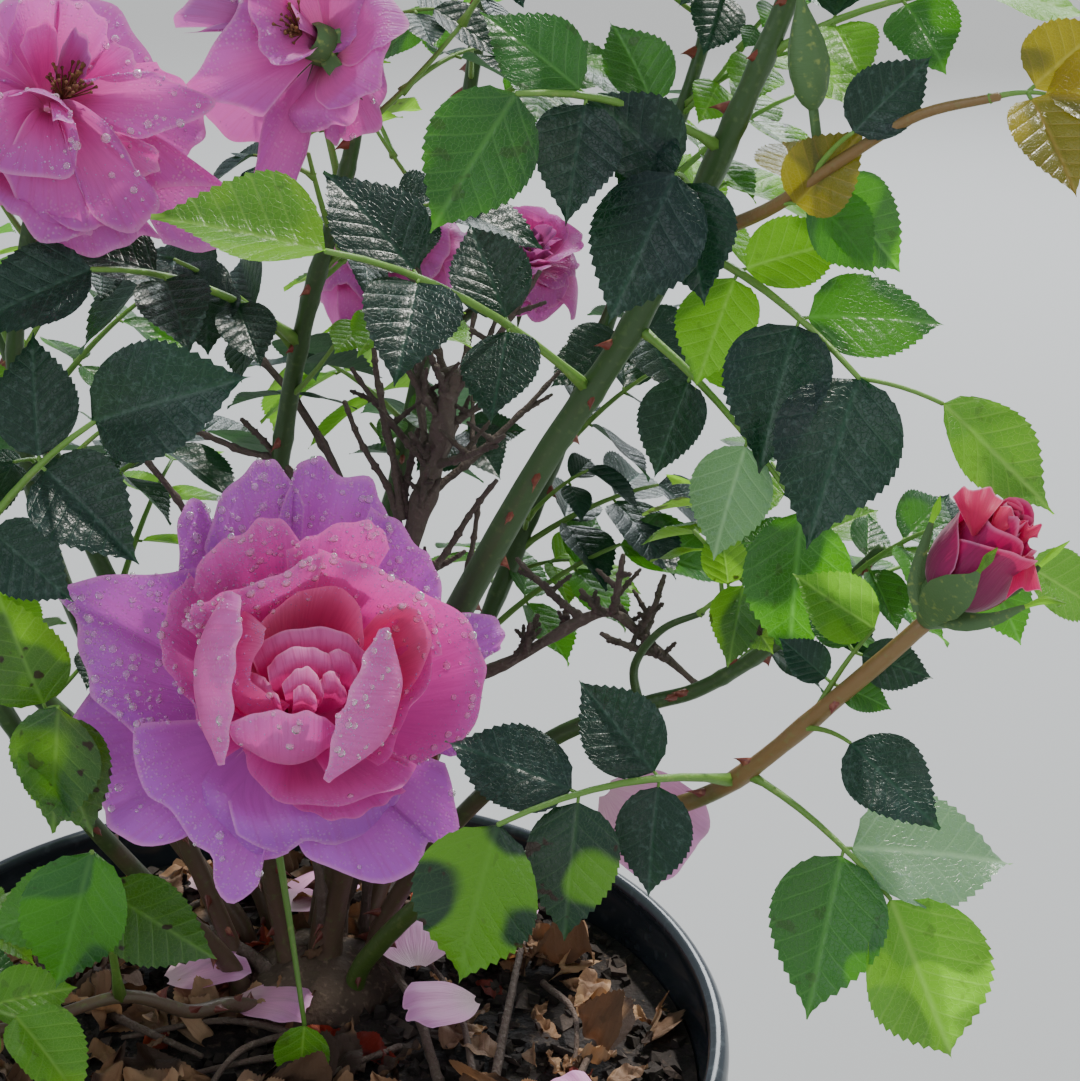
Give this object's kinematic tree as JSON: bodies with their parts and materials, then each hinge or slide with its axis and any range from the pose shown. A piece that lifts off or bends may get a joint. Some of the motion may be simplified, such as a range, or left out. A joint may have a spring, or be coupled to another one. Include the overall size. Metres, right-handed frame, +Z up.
{
  "type": "potted rose bush",
  "caption": "Garden rose bush in a black nursery pot: thorny canes, pinnate leaves, large pink many-petalled blooms, a red bud and some dead wood.",
  "frame": {"origin": "middle of the pot's flat underside", "axes": "+Z up, -Y towards the picture's viewer, +X to the viewer's right"},
  "size_m": [0.471, 0.338, 0.6834],
  "materials": {
    "pot_plastic": "satin black moulded plastic",
    "potting_mix": "damp crumbly bark mix",
    "old_bark": "rough woody bark",
    "dead_wood": "grey-brown dead wood",
    "green_bark": "smooth green bark with prickles",
    "foliage": "glossy dark green leaves",
    "petals": "satin pink petals",
    "bud_petals": "satin crimson bud"
  },
  "bodies": {
    "root": {"pot": "pot_plastic", "potting_soil": "potting_mix", "woody_crown": "old_bark", "dead_stub": "dead_wood", "dead_twigs": "dead_wood", "dead_branch": "dead_wood", "cane_right_tall": "green_bark", "leaves_right_tall": "foliage", "cane_right_bud": "green_bark", "leaves_right_bud": "foliage", "cane_right_low": "green_bark", "leaves_right_low": "foliage", "cane_front_main": "green_bark", "leaves_front_main": "foliage", "cane_left_tall": "green_bark", "leaves_left_tall": "foliage", "cane_left_front": "green_bark", "leaves_left_front": "foliage", "cane_low_shoot": "green_bark", "leaves_low_shoot": "foliage", "cane_left_bloom": "green_bark", "leaves_left_bloom": "foliage", "cane_left_mid": "green_bark", "leaves_left_mid": "foliage", "cane_left_back": "green_bark", "leaves_left_back": "foliage", "cane_back_middle": "green_bark", "leaves_back_middle": "foliage", "cane_back_right": "green_bark", "leaves_back_right": "foliage", "bloom_main": "petals", "bloom_left": "petals", "bloom_hanging": "petals", "bloom_far_left": "petals", "bloom_back_left": "petals", "bloom_back": "petals", "bloom_back_right": "petals", "red_bud": "bud_petals"}
  },
  "joints": []
}
